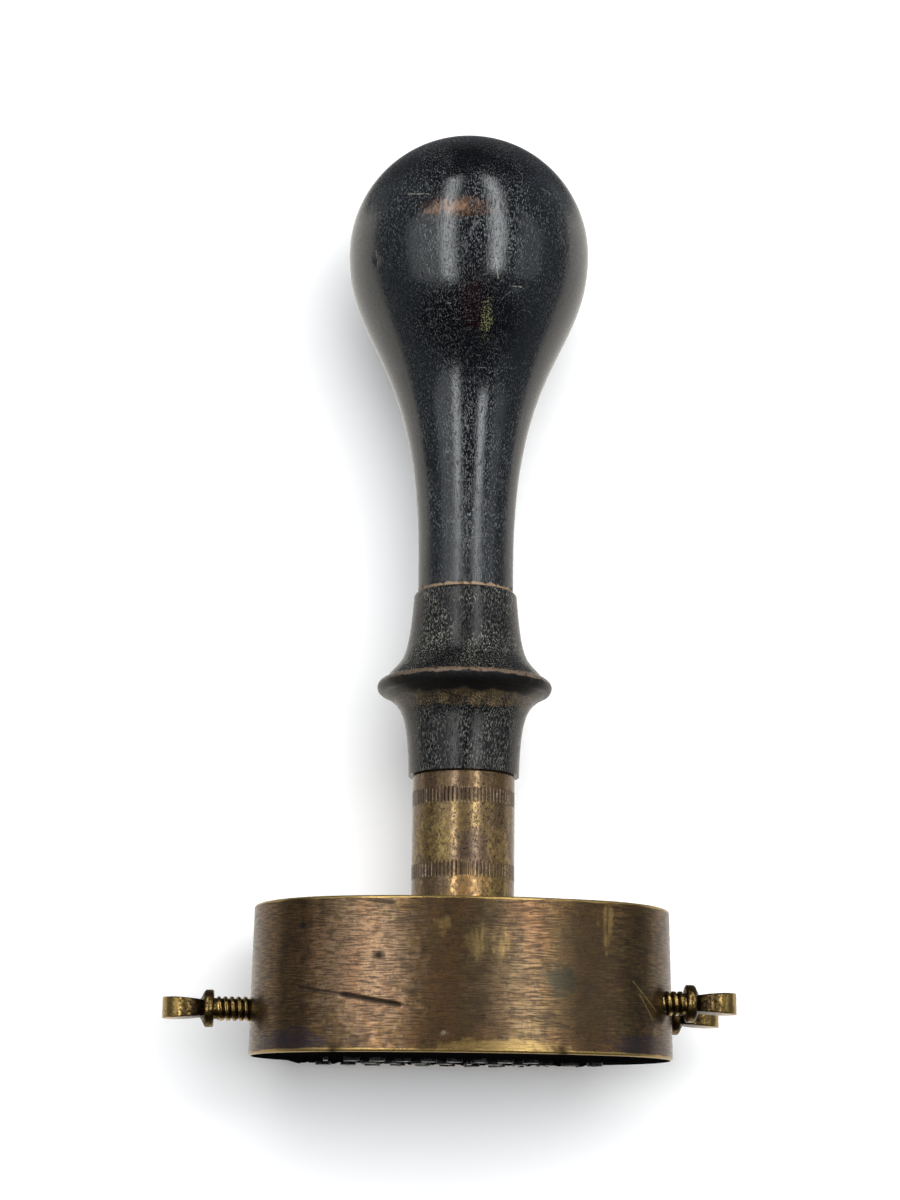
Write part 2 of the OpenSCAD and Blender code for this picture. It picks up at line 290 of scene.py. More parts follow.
def piece(name, parts, materials, body, slot, replaced, crease=35.0):
    """Joins grids into one closed mesh, faces outwards, and hangs it on its body."""
    vertices, quads, grime, finish = zip(*parts)
    starts = np.cumsum([0] + [len(part) for part in vertices])
    mesh = bpy.data.meshes.new(name)
    faces = np.vstack([part + start for part, start in zip(quads, starts)])
    mesh.from_pydata(np.vstack(vertices).tolist(), [], faces.tolist())
    for material in materials:
        mesh.materials.append(material)
    mesh.polygons.foreach_set("material_index", np.repeat(finish, [len(part) for part in quads]))
    mesh.attributes.new("grime", "FLOAT", "POINT").data.foreach_set("value", np.concatenate(grime))
    work = bmesh.new()
    work.from_mesh(mesh)
    bmesh.ops.remove_doubles(work, verts=work.verts, dist=0.001 * MM)
    bmesh.ops.dissolve_degenerate(work, edges=work.edges, dist=0.0005 * MM)
    bmesh.ops.recalc_face_normals(work, faces=work.faces)
    work.to_mesh(mesh)
    work.free()
    mesh.polygons.foreach_set("use_smooth", np.ones(len(mesh.polygons), bool))
    mesh.set_sharp_from_angle(angle=math.radians(crease))
    made = bpy.data.objects.new(name, mesh)
    bpy.context.scene.collection.objects.link(made)
    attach(made, body)
    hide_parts(*replaced)
    return made


# Shader nodes


class Flow:
    """One output of a shader node; a sum written with it adds a Math node."""

    def __init__(self, socket):
        self.socket, self.tree = socket, socket.id_data

    def also(self, output):
        """Another output of the same node."""
        return Flow(self.socket.node.outputs[output])

    def maths(self, operation, other=0.0, clamp=False):
        """The result of one Math node."""
        return add(self.tree, "Math", 0, {0: self, 1: other}, operation=operation, use_clamp=clamp)

    __add__, __sub__ = partialmethod(maths, "ADD"), partialmethod(maths, "SUBTRACT")
    __mul__, __truediv__ = partialmethod(maths, "MULTIPLY"), partialmethod(maths, "DIVIDE")
    __abs__ = partialmethod(maths, "ABSOLUTE")

    def eased(self, low, high, to_low=0.0, to_high=1.0):
        """A smooth step from to_low at low to to_high at high."""
        inputs = {"Value": self, "From Min": low, "From Max": high, "To Min": to_low, "To Max": to_high}
        return add(self.tree, "MapRange", "Result", inputs, interpolation_type="SMOOTHSTEP")

    def axis(self, name):
        """One coordinate of a place."""
        return add(self.tree, "SeparateXYZ", name, {0: self})


def add(tree, kind, output=0, inputs=None, **settings):
    """Adds a shader node and gives one of its outputs; an input is a value or the Flow that feeds it."""
    node = tree.nodes.new("ShaderNode" + kind)
    for name, value in settings.items():
        setattr(node, name, value)
    for key, value in (inputs or {}).items():
        if isinstance(value, Flow):
            tree.links.new(value.socket, node.inputs[key])
        else:
            node.inputs[key].default_value = value
    return Flow(node.outputs[output]) if node.outputs else None


def vector(operation, a, b=ORIGIN, output=0):
    """The result of one Vector Math node."""
    return add(a.tree, "VectorMath", output, {0: a, 1: b}, operation=operation)


def noise(place, scale, detail, roughness=0.5):
    """Noise at a place, about 0.5."""
    inputs = {"Vector": place, "Scale": scale, "Detail": detail, "Roughness": roughness}
    return add(place.tree, "TexNoise", "Fac", inputs)


def mixed(factor, a, b):
    """Colour a where factor is 0 and colour b where it is 1."""
    return add(factor.tree, "Mix", 2, {0: factor, 6: a, 7: b}, data_type="RGBA")


def opaque(tint):
    """A tint with full alpha."""
    return (*tint[:3], 1.0)


def emptied(made):
    """The node tree, without nodes, of a new material or world."""
    made.use_nodes = True
    made.node_tree.nodes.clear()
    return made.node_tree


def put(tree, effect, **inputs):
    """Places an effect's node group in a tree; it is built once, with a socket for each value of the effect."""
    made = bpy.data.node_groups.get(effect.__name__)
    if made is None:
        made = bpy.data.node_groups.new(effect.__name__, "ShaderNodeTree")
        for label, value in inspect.signature(effect).parameters.items():
            kind = "NodeSocketFloat" if isinstance(value.default, float) else "NodeSocketVector"
            made.interface.new_socket(label, in_out="INPUT", socket_type=kind).default_value = value.default
        given = made.nodes.new("NodeGroupInput").outputs
        results = effect(*(Flow(socket) for socket in given if socket.name))
        for label in results:
            made.interface.new_socket(label, in_out="OUTPUT", socket_type="NodeSocketFloat")
        end = made.nodes.new("NodeGroupOutput")
        for label, result in results.items():
            made.links.new(result.socket, end.inputs[label])
    return add(tree, "Group", "Mask", inputs, node_tree=made)


def streaks(place=ORIGIN, scale=(1000.0, 1000.0, 1000.0), detail=4.0, low=0.4, high=0.6):
    """Noise stretched by a scale for each axis, as a mask between two levels."""
    raw = noise(vector("MULTIPLY", place, scale), 1.0, detail, 0.6)
    return {"Mask": raw.eased(low, high), "Raw": raw}


def spot(place=ORIGIN, centre=ORIGIN, size=(MM, MM, MM), ragged=1.6, grain=900.0):
    """One inside an ellipsoid with a ragged edge, nought outside: the length of (point - centre) / size."""
    part = vector("DIVIDE", vector("SUBTRACT", place, centre), size)
    rough = (noise(place, grain, 5.0) - 0.5) * ragged
    return {"Mask": (vector("LENGTH", part, output="Value") + rough).eased(0.45, 1.0, 1.0, 0.0)}


def scratch(place=ORIGIN, start=ORIGIN, end=ORIGIN, width=0.0002):
    """One along a segment, broken by noise: the distance from the point to its nearest place on the segment."""
    run, off = vector("SUBTRACT", end, start), vector("SUBTRACT", place, start)
    forward, whole = (vector("DOT_PRODUCT", way, run, "Value") for way in (off, run))
    along = forward.maths("DIVIDE", whole, clamp=True)
    near = add(run.tree, "VectorMath", 0, {0: run, "Scale": along}, operation="SCALE")
    broken = width * noise(place, 1400.0, 3.0).eased(0.3, 0.6, 0.25, 1.2)
    return {"Mask": (vector("DISTANCE", off, near, "Value") / broken).eased(0.3, 1.0, 1.0, 0.0)}


def ring(place=ORIGIN, height=0.0, half=0.0005, ragged=0.0004, grain=700.0):
    """One within half a width of a height, nought above and below, with a ragged edge."""
    waver = (noise(place, grain, 4.0) - 0.5) * ragged
    return {"Mask": ((abs(place.axis("Z") - height) + waver) / half).eased(0.6, 1.0, 1.0, 0.0)}


def hairlines(place=ORIGIN, scale=90.0, width=0.05):
    """Short thin strokes: level lines of a broad noise, broken up by a fine one."""
    level = (noise(place, scale, 0.5) * 13.0).maths("FRACT")
    line = abs(level - 0.5).eased(0.01, width, 1.0, 0.0)
    return {"Mask": line * noise(place, scale * 7.0, 2.0).eased(0.56, 0.64)}


class Finish:
    """A node material under way: place is in Object coordinates, and base is the colour so far."""

    def __init__(self, name, base):
        self.material = bpy.data.materials.new(name)
        self.tree = emptied(self.material)
        self.place = add(self.tree, "TexCoord", "Object")
        self.grime = add(self.tree, "Attribute", "Fac", attribute_name="grime")
        self.base = opaque(base)

    def streaks(self, across, up, detail, low, high):
        """Streaks with one scale across and one up, as a mask and as the raw noise."""
        scale = (across, across, up)
        mask = put(self.tree, streaks, place=self.place, scale=scale, detail=detail, low=low, high=high)
        return mask, mask.also("Raw")

    def ring(self, height, half, ragged, grain=700.0):
        """A ring at a height; its half width and its raggedness are in millimetres."""
        values = {"height": height, "half": half * MM, "ragged": ragged * MM, "grain": grain}
        return put(self.tree, ring, place=self.place, **values)

    def lay(self, mask, tint):
        """Covers the colour so far with a tint through a mask."""
        self.base = mixed(mask, self.base, opaque(tint))

    def spots(self, marks, through=1.0, place=None):
        """Lays spots: each is a centre and a size in millimetres, a tint, a share and raggedness."""
        for centre, size, tint, amount, ragged in marks:
            values = {"centre": np.array(centre) * MM, "size": np.array(size) * MM, "ragged": ragged}
            self.lay(put(self.tree, spot, place=place or self.place, **values) * through * amount, tint)

    def scratches(self, marks, through=1.0, place=None):
        """Lays scratches: each is a start and an end in millimetres, a width, a tint and a share."""
        for start, end, width, tint, amount in marks:
            values = {"start": np.array(start) * MM, "end": np.array(end) * MM, "width": width * MM}
            self.lay(put(self.tree, scratch, place=place or self.place, **values) * through * amount, tint)

    def close(self, rough, relief, bump, metallic, depth=0.1, specular=0.5, sheen=(1.0, 1.0, 1.0)):
        """Ends the material in a Principled BSDF whose Bump is depth millimetres deep."""
        inputs = {"Height": relief, "Strength": bump, "Distance": depth * MM}
        surface = {
            "Base Color": self.base,
            "Roughness": rough,
            "Metallic": metallic,
            "Normal": add(self.tree, "Bump", "Normal", inputs),
            "Specular IOR Level": specular,
            "Specular Tint": opaque(sheen),
        }
        add(self.tree, "OutputMaterial", inputs={"Surface": add(self.tree, "BsdfPrincipled", "BSDF", surface)})
        return self.material


def grip_wood(handle):
    """Glossy black polish over fine upright grain: pores, hairlines, rubbed brown patches, dust and scratches; the dust
    is thinned where the bulb turns down into the neck, as painted shade.
    """
    wood = Finish("grip_wood", handle.black)
    grain, grain_raw = wood.streaks(2500, 620, 5, 0.40, 0.68)
    speck, speck_raw = wood.streaks(6400, 1900, 2, 0.55, 0.645)
    pores, _ = wood.streaks(2100, 560, 2, 0.61, 0.68)
    _, cloud_raw = wood.streaks(150, 90, 5, 0.42, 0.66)
    hairs = put(wood.tree, hairlines, place=wood.place)
    height = wood.place.axis("Z")
    wood.lay(grain * 0.6, (0.0052, 0.0055, 0.0066))
    # Painted shade: dust specks thinned to 0.4 around 117 mm, where the bulb turns down into the neck.
    clean = abs(height - 117 * MM).eased(5 * MM, 20 * MM, 0.4, 1.0)
    wood.lay(speck * (cloud_raw.eased(0.38, 0.62, 0.06, 0.62) * clean), handle.dust)
    rubbed = [
        ((-3.6, -20.0, 136.9), (7.4, 7.0, 2.4), handle.worn, 0.4, 1.2),
        ((-4.6, -20.0, 136.9), (4.4, 5.0, 1.3), (0.30, 0.160, 0.085), 0.42, 1.9),
        ((-0.7, -16.9, 122.0), (2.6, 5.0, 6.5), (0.014, 0.0025, 0.003), 0.55, 1.4),
    ]
    wood.spots(rubbed, grain_raw.eased(0.32, 0.62, 0.2, 1.0))
    yellow = ((1.8, -15.7, 119.8), (1.2, 3.0, 4.0), (0.20, 0.20, 0.09), 0.8, 2.0)
    wood.spots([yellow], speck_raw.eased(0.5, 0.62))
    wood.lay(hairs * 0.34, (0.13, 0.128, 0.12))
    pale = (0.26, 0.24, 0.21)
    wood.scratches(
        [
            ((-11.4, -16.3, 140.1), (-8.2, -18.2, 139.5), 0.13, pale, 0.8),
            ((-16.3, -11.7, 131.9), (-15.9, -11.2, 128.6), 0.14, pale, 0.6),
            ((2.9, -19.2, 128.4), (3.4, -18.1, 125.4), 0.13, pale, 0.7),
            ((5.8, -17.1, 124.5), (7.5, -16.5, 124.6), 0.13, pale, 0.7),
            ((9.0, -17.4, 142.6), (13.5, -14.3, 141.2), 0.13, pale, 0.5),
        ]
    )
    wood.lay(pores * 0.8, (0.002, 0.002, 0.002))
    edge = wood.ring(SEAM_Z, 0.5, 1.2, 1000.0)
    wood.lay((edge * 0.75).maths("MAXIMUM", wood.grime), handle.tan)
    rough = grain_raw.eased(0.3, 0.7, 0.03, 0.10) + speck * 0.3 + edge * 0.4
    rough = rough + height.eased(SEAM_Z + 4 * MM, SEAM_Z + 32 * MM, 0.2, 0.0)
    relief = grain_raw + speck * 0.3 - (pores + hairs * 0.5)
    return wood.close(rough, relief, 0.24, 0.0, specular=0.73, sheen=(0.95, 0.985, 1.0))


def collar_wood(handle):
    """Charcoal polish with upright strokes of dust, bare wood on the flange's edge, a brown, dusty lower cove and
    painted black shade under the flange.
    """
    wood = Finish("collar_wood", handle.black)
    grain, grain_raw = wood.streaks(2600, 800, 5, 0.42, 0.68)
    speck, speck_raw = wood.streaks(6200, 1800, 3, 0.53, 0.63)
    pores, _ = wood.streaks(2300, 700, 2, 0.58, 0.66)
    _, cloud_raw = wood.streaks(210, 150, 5, 0.36, 0.66)
    wood.lay(grain * 0.6, (0.0095, 0.0097, 0.0105))
    higher = wood.place.axis("Z").eased(POST_TOP_Z + 8 * MM, POST_TOP_Z + 20 * MM, 0.65, 1.0)
    wood.lay(speck * (cloud_raw.eased(0.36, 0.66, 0.2, 1.0) * higher), (0.245, 0.240, 0.200))
    cove = wood.ring(POST_TOP_Z + 11.6 * MM, 1.7, 3.2, 520.0) * speck_raw.eased(0.36, 0.56, 0.1, 0.85)
    wood.lay(cove * cloud_raw.eased(0.42, 0.58, 0.25, 1.0), (0.150, 0.105, 0.054))
    # Painted shade: a black ring just under the flange's lip, front and back, which also makes the polish there dull.
    facing = abs(wood.place.axis("Y")).eased(4 * MM, 11 * MM)
    soot = wood.ring(POST_TOP_Z + 13.6 * MM, 1.7, 1.6, 420.0) * facing.eased(0.0, 1.0, 0.25, 1.0)
    wood.lay(soot, (0.001, 0.001, 0.001))
    wood.lay(wood.ring(POST_TOP_Z + 15.2 * MM, 0.45, 1.1) * 0.55, (0.22, 0.150, 0.098))
    wood.lay(wood.grime * soot.eased(0.0, 1.0, 1.0, 0.1), (0.22, 0.13, 0.08))
    wood.lay(pores * 0.8, (0.003, 0.003, 0.003))
    rough = (grain_raw.eased(0.3, 0.7, 0.10, 0.22) + speck * 0.35).maths("ADD", soot * 0.6, clamp=True)
    return wood.close(rough, grain_raw + speck - pores, 0.4, 0.0, specular=0.34)


def post_brass(brass):
    """Olive brass mottled with brown, dark in the milled cuts, rubbed gold at the base."""
    metal = Finish("post_brass", brass.olive)
    broad, broad_raw = metal.streaks(260, 130, 6, 0.40, 0.60)
    fine, fine_raw = metal.streaks(1500, 1000, 5, 0.42, 0.60)
    pits, _ = metal.streaks(3100, 2500, 3, 0.52, 0.62)
    metal.lay(broad * 0.7, (0.135, 0.088, 0.066))
    top = metal.place.axis("Z").eased(DECK_Z + 15.5 * MM, DECK_Z + 18.5 * MM)
    metal.lay(top * 0.6, (0.140, 0.086, 0.046))
    metal.spots([((0.8, -8.2, 34.0), (2.6, 4.0, 5.5), (0.085, 0.055, 0.043), 0.75, 1.8)])
    metal.lay(fine * 0.65, (0.085, 0.050, 0.024))
    rubbed = [
        ((0.4, -8.2, 27.8), (4.4, 4.0, 3.6), (0.46, 0.25, 0.085), 0.95, 1.8),
        ((-4.4, -7.2, 36.5), (3.0, 4.0, 5.5), (0.36, 0.26, 0.09), 0.75, 1.8),
        ((5.4, -6.4, 34.0), (2.8, 4.0, 4.5), (0.36, 0.23, 0.085), 0.7, 1.8),
    ]
    metal.spots(rubbed, fine_raw.eased(0.32, 0.6, 1.0, 0.15))
    for z in (brass.low_band_z, brass.high_band_z):
        band = metal.ring(DECK_Z + z, 1.4, 1.4, 420.0) * fine_raw.eased(0.3, 0.6, 0.8, 0.35)
        metal.lay(band, (0.055, 0.038, 0.027))
    metal.lay(pits * 0.75, brass.dark)
    soot = (0.012, 0.009, 0.007)
    metal.lay(metal.grime * broad_raw.eased(0.38, 0.58, 0.95, 0.35), soot)
    metal.lay(metal.ring(DECK_Z, 0.4, 0.3), soot)
    rough = fine_raw.eased(0.3, 0.7, 0.10, 0.30) + metal.grime * 0.25
    return metal.close(rough, fine_raw - pits * 0.8, 0.14, 0.6)


def head_brass(brass):
    """Brown patina brushed along the wall with upright stains, gold on the worn edges, violet tarnish and grime; on the
    front, lighter patches under the highlights and gold along the rim are partly painted highlight, and a patch beside
    the right highlight is painted shade.
    """
    metal = Finish("head_brass", brass.brown)
    gold, dark, violet = brass.gold, brass.dark, brass.violet
    brushed, brushed_raw = metal.streaks(440, 4700, 4, 0.45, 0.62)
    broad, _ = metal.streaks(110, 60, 6, 0.40, 0.60)
    red, _ = metal.streaks(190, 80, 6, 0.44, 0.64)
    stain, stain_raw = metal.streaks(420, 260, 6, 0.48, 0.68)
    drips, _ = metal.streaks(1300, 130, 4, 0.40, 0.62)
    speck, _ = metal.streaks(3000, 1500, 4, 0.52, 0.66)
    seen = vector("MULTIPLY", metal.place, (1, 0, 1))
    front = metal.place.axis("Y").eased(-4 * MM, -1 * MM, 1.0, 0.0)

    def spots(through, *marks):
        """Lays spots seen from the front: x, z, width and height in millimetres, tint, share and raggedness."""
        metal.spots([((x, 0, z), (wide, 1, tall), *looks) for x, z, wide, tall, *looks in marks], through, seen)

    metal.lay(broad * 0.75, (0.102, 0.071, 0.029))
    # Lighter reddish patches under the left and right highlights on the front: partly patina, partly painted highlight.
    spots(
        front,
        (-16.5, 14.0, 11.0, 14.0, (0.200, 0.127, 0.076), 0.72, 2.4),
        (4.5, 12.0, 7.5, 14.0, (0.150, 0.102, 0.056), 0.6, 2.4),
    )
    metal.lay(red * 0.5, (0.156, 0.073, 0.033))
    metal.lay(brushed * 0.78, (0.040, 0.026, 0.016))
    metal.lay(brushed_raw.eased(0.32, 0.47, 0.34, 0.0), (0.265, 0.166, 0.084))
    metal.lay(stain * 0.5, dark)
    metal.lay(speck * 0.6, dark)
    spots(
        front,
        # A darker patch right of the right highlight is painted shade.
        (18.5, 12.0, 7.5, 15.0, (0.062, 0.042, 0.024), 0.42, 1.8),
        (13.8, 12.0, 3.4, 3.0, (0.040, 0.036, 0.022), 0.8, 1.8),
        # Gold along the front of the rim: partly worn brass, partly painted highlight.
        (4.2, 1.7, 11.5, 1.7, gold, 0.45, 1.6),
        (-27.4, 2.6, 6.5, 2.6, violet, 0.6, 1.8),
        (26.8, 2.4, 6.5, 2.2, violet, 0.6, 1.8),
        (-25.9, 20.1, 0.8, 0.6, dark, 0.9, 1.0),
        (-14.2, 15.3, 0.7, 0.6, dark, 0.8, 1.0),
        (-4.4, 3.8, 0.4, 0.4, (0.5, 0.42, 0.3), 0.9, 1.0),
    )
    spots(
        drips * front,
        (-4.6, 20.0, 1.6, 1.8, gold, 0.4, 2.0),
        (0.6, 17.6, 2.2, 3.2, gold, 0.42, 2.0),
        (4.4, 17.0, 1.6, 3.0, gold, 0.5, 2.0),
        (20.9, 20.4, 1.4, 4.4, gold, 0.42, 2.4),
    )
    marks = [
        (-26.2, 10.7, -18.9, 9.4, 0.16, dark, 0.8),
        (-25.6, 10.1, -18.9, 9.1, 0.12, dark, 0.7),
        (-16.2, 23.6, -12.1, 23.3, 0.14, dark, 0.8),
        (8.6, 6.6, 14.9, 5.0, 0.14, dark, 0.9),
        (10.2, 5.7, 15.6, 4.6, 0.10, dark, 0.7),
        (25.3, 12.3, 29.5, 8.0, 0.13, gold, 0.8),
        (26.4, 10.4, 28.6, 7.0, 0.12, gold, 0.7),
    ]
    metal.scratches([((x, 0, z), (x2, 0, z2), *looks) for x, z, x2, z2, *looks in marks], front, seen)
    for z, half, amount in ((DECK_Z - 0.05 * MM, 0.42, 0.9), (RIM_Z, 0.62, 0.8)):
        metal.lay(metal.ring(z, half, 0.6, 300.0) * amount, gold)
    metal.lay(metal.grime * 0.9, (0.010, 0.008, 0.006))
    rough = brushed_raw.eased(0.3, 0.7, 0.2, 0.34) + metal.grime * 0.3
    return metal.close(rough, brushed_raw + stain_raw * 0.3, 0.2, 0.8)


def screw_brass(brass):
    """Yellow brass on crests and ends, brown grime in thread, collar and waist."""
    metal = Finish("screw_brass", brass.gold)
    broad, _ = metal.streaks(520, 520, 6, 0.40, 0.64)
    fine, fine_raw = metal.streaks(2300, 2300, 4, 0.42, 0.66)
    metal.lay(broad * 0.6, brass.olive)
    metal.lay(fine * 0.45, brass.brown)
    cover = (metal.grime + (fine_raw - 0.5) * 1.1).eased(0.15, 0.85)
    metal.lay(cover, (0.022, 0.014, 0.009))
    return metal.close(fine_raw.eased(0.3, 0.7, 0.18, 0.36) + cover * 0.15, fine_raw, 0.25, 1.0)


def shoe_brass(brass):
    """Dull brass with fine marks, stained with ink towards the printing side."""
    metal = Finish("shoe_brass", brass.olive)
    fine, fine_raw = metal.streaks(900, 300, 5, 0.4, 0.68)
    metal.lay(fine * 0.5, brass.brown)
    level = metal.place.axis("Z") + fine_raw * (4 * MM)
    metal.lay(level.eased(4 * MM, 9 * MM, 0.9, 0.1), brass.dark)
    return metal.close(fine_raw.eased(0.3, 0.7, 0.36, 0.56), fine_raw, 0.2, 1.0)


def tang_iron():
    """Dark forged iron with file marks and a little rust."""
    metal = Finish("tang_iron", (0.24, 0.235, 0.23))
    fine, fine_raw = metal.streaks(1400, 300, 5, 0.4, 0.65)
    rust, rust_raw = metal.streaks(260, 260, 6, 0.52, 0.68)
    metal.lay(fine, (0.15, 0.145, 0.14))
    metal.lay(rust * 0.7, (0.16, 0.06, 0.025))
    return metal.close(rust_raw.eased(0.3, 0.7, 0.4, 0.7), fine_raw, 0.25, 0.9)


def inked_metal(name, inked, bare_z, metallic, shine):
    """Lumps of dried ink that thin out above bare_z to the grey of the metal."""
    metal = Finish(name, inked.ink)
    _, crust_raw = metal.streaks(620, 620, 5, 0.35, 0.7)
    fine, fine_raw = metal.streaks(2600, 2600, 4, 0.4, 0.7)
    level = metal.place.axis("Z") + (crust_raw - 0.5) * (6 * MM)
    bare = level.eased(bare_z, bare_z + 5 * MM) * 0.8
    metal.lay(fine * 0.3, (0.006, 0.0058, 0.0058))
    metal.lay(bare, inked.lead)
    rough = crust_raw.eased(0.3, 0.7, 0.7 - shine, 0.9 - shine) + bare * 0.1
    relief = crust_raw + fine_raw * 0.25
    return metal.close(rough, relief, 0.6, bare * metallic, depth=0.3, specular=0.6 * shine)


# Pieces


class GripOperator(bpy.types.Operator):
    """Turn the grip: half a ball, a long cubic draw to the neck, a chipped lower edge and a spigot."""

    bl_idname = "stamp.grip"
    bl_label = "Grip"

    def execute(self, context):
        handle = context.scene.stamp_handle
        columns = 256
        spigot_z, top_z = GRIP[:, 2]
        spigot_r, bore_z, low_z = handle.spigot_d / 2, TANG[1, 2] + GAP, SEAM_Z + 0.02 * MM
        bulb_r = (GRIP[1, 0] - GRIP[0, 0]) / 2
        bulb, neck = np.array((bulb_r, top_z - bulb_r)), np.array((handle.neck_d / 2, SEAM_Z + handle.neck_l))
        outside = [
            arc((0, bulb[1]), bulb_r, 90, 0, 48),
            cubic(bulb, bulb - (0, handle.bulb_pull), neck + (0, handle.neck_pull), neck, 90)[1:],
            np.linspace(neck, (neck[0], low_z), 37)[1:],
        ]
        points = turned(np.vstack(outside), columns)
        inward = towards_axis(points)
        bite = np.clip(ripple(around(points), 7, 8, 52) - 0.35, 0.0, 1.2)
        low = np.clip(1 - (points[..., 2] - SEAM_Z) / ((0.3 + 0.5 * bite) * MM), 0.0, 1.0)
        points = points + inward * (handle.chip * bite * low**0.7)[..., None]
        dents = [((-16.2, -11.5, 130.2), 0.9, 0.12), ((6.5, -16.9, 124.6), 0.8, 0.1), ((-9.8, -17.4, 139.8), 1.0, 0.1)]
        points, _ = pressed(points, inward, dents)
        rest = turned([(spigot_r, spigot_z), (BORE_R, spigot_z), (BORE_R, bore_z), (0.0, bore_z)], columns)
        under = np.stack([points[-1], rest[0] * (1, 1, 0) + (0, 0, low_z), rest[0]])
        parts = [grid(points, np.clip(low * bite, 0.0, 0.8)), grid(under, 0.4), grid(rest)]
        piece("turned_grip", parts, [grip_wood(handle)], "stamp", "grip_wood", ["handle_grip"])
        return {"FINISHED"}


class CollarOperator(bpy.types.Operator):
    """Turn the collar: rounded shoulder, cubic cove out to the flange, round edge, cubic cove in to the foot."""

    bl_idname = "stamp.collar"
    bl_label = "Collar"

    def execute(self, context):
        handle = context.scene.stamp_handle
        columns, edge, round_r = 160, handle.flange_edge_r, handle.shoulder_r
        flange = np.array((COLLAR[1, 0] - edge, POST_TOP_Z + handle.flange_z))
        top, under = flange + (0, edge), flange - (0, edge)
        shoulder = np.array((handle.shoulder_d / 2, SEAM_Z - round_r))
        foot = np.array((handle.foot_d / 2, POST_TOP_Z))
        fall, drop = shoulder[1] - top[1], under[1] - foot[1]
        outside = [
            arc(shoulder - (round_r, 0), round_r, 90, 0, 8),
            cubic(shoulder, shoulder + (0.9 * MM, -0.86 * fall), top + (-2.7 * MM, 0.26 * fall), top, 60)[1:],
            arc(flange, edge, 90, -90, 16)[1:],
            cubic(under, under - (2.4 * MM, 0.15 * drop), foot + (0.25 * MM, 0.85 * drop), foot, 50)[1:],
        ]
        points = turned(np.vstack(outside), columns)
        by_flange = np.exp(-(((points[..., 2] - flange[1]) / (0.9 * MM)) ** 2))
        by_seam = np.clip(1 - (SEAM_Z - points[..., 2]) / (0.9 * MM), 0.0, 1.0)
        nicks = np.clip(ripple(around(points), 11, 9, 60) - 1.1, 0.0, 1.0)
        points = points + towards_axis(points) * ((0.28 * by_flange + 0.12 * by_seam) * nicks * MM)[..., None]
        socket_r, socket_z = handle.spigot_d / 2 + GAP, GRIP[0, 2] - GAP
        bore = [foot, (BORE_R, POST_TOP_Z), (BORE_R, socket_z), (socket_r, socket_z), (socket_r, SEAM_Z)]
        hollow = np.concatenate([turned(bore, columns), points[:1]])
        parts = [grid(points, np.clip(nicks * by_flange * 2, 0, 0.8)), grid(hollow)]
        piece("turned_collar", parts, [collar_wood(handle)], "stamp", "collar_wood", ["handle_collar"])
        return {"FINISHED"}


class PostOperator(bpy.types.Operator):
    """Turn the post and mill its two bands: the radius dips by a V for each cut round the band."""

    bl_idname = "stamp.post"
    bl_label = "Post"

    def execute(self, context):
        brass = context.scene.stamp_brass
        post_r, tenon_z, socket_z = POST[1, 0], POST[0, 2], TANG[0, 2]
        edge, half, columns = 0.25 * MM, brass.band_w / 2, brass.tick_count * 8
        bands = (DECK_Z + brass.low_band_z, DECK_Z + brass.high_band_z)
        steps = half * np.array([-1.12, -1.0, -0.9, -0.6, 0.0, 0.6, 0.9, 1.0, 1.12])
        even = np.linspace(DECK_Z, POST_TOP_Z - edge, 30)
        z = np.unique(np.concatenate([even, *(band + steps for band in bands)]))
        points = turned(np.column_stack([np.full(len(z), post_r), z]), columns)
        angles = np.linspace(0.0, 2 * np.pi, columns, endpoint=False)
        cut = np.clip(1 - np.abs((angles * brass.tick_count / (2 * np.pi)) % 1 - 0.5) / 0.24, 0.0, 1.0)
        rubbed_at, rubbed_over = math.radians(289), math.radians(22)
        rubbed = 1 - 0.75 * np.exp(-(((angles - rubbed_at) / rubbed_over) ** 2))
        milled, depth = np.zeros((len(z), 1)), np.zeros((len(z), columns))
        for number, band in enumerate(bands):
            here = np.clip((half * 1.06 - np.abs(z - band)) / (0.12 * half), 0.0, 1.0)[:, None]
            strength = np.clip(0.75 + 0.3 * ripple(angles, 20 + number, 3, 18), 0.25, 1.1) * rubbed
            depth, milled = depth + here * cut * strength, np.maximum(milled, here)
        worn = 0.02 * MM * np.clip(ripple(angles, 31, 2, 9), 0, None) * (1 - milled)
        points = points + towards_axis(points) * (brass.tick_depth * depth + worn)[..., None]
        socket = [(post_r - edge, POST_TOP_Z), (BORE_R, POST_TOP_Z), (BORE_R, socket_z), (0.0, socket_z)]
        above = np.concatenate([points[-1:], turned(socket, columns)])
        tenon = [(0.0, tenon_z), (TENON_R, tenon_z), (TENON_R, DECK_Z)]
        below = np.concatenate([turned(tenon, columns), points[:1]])
        parts = [grid(points, np.clip(depth, 0, 1)), grid(above), grid(below)]
        piece("milled_post", parts, [post_brass(brass)], "stamp", "post_brass", ["post"], crease=28.0)
        return {"FINISHED"}


def oval(y, shrink, end_r, head_l, head_w):
    """Half length and outward normal of the four-centred oval at each y, its arcs shrunk by shrink."""
    end_x, step = head_l / 2 - end_r, head_w / 2 - end_r
    side_y = (end_x**2 - step**2) / (2 * step)
    small, large = end_r - shrink, head_w / 2 + side_y - shrink
    at_end = np.abs(y) / small <= side_y / np.hypot(end_x, side_y)
    x_end = end_x + np.sqrt(np.clip(small**2 - y**2, 0, None))
    x_side = np.sqrt(np.clip(large**2 - (np.abs(y) + side_y) ** 2, 0, None))
    x = np.where(at_end, x_end, x_side)
    nx = np.where(at_end, (x - end_x) / small, x / large)
    ny = np.where(at_end, y / small, np.sign(y) * (np.abs(y) + side_y) / large)
    return x, np.stack([nx, ny], -1)


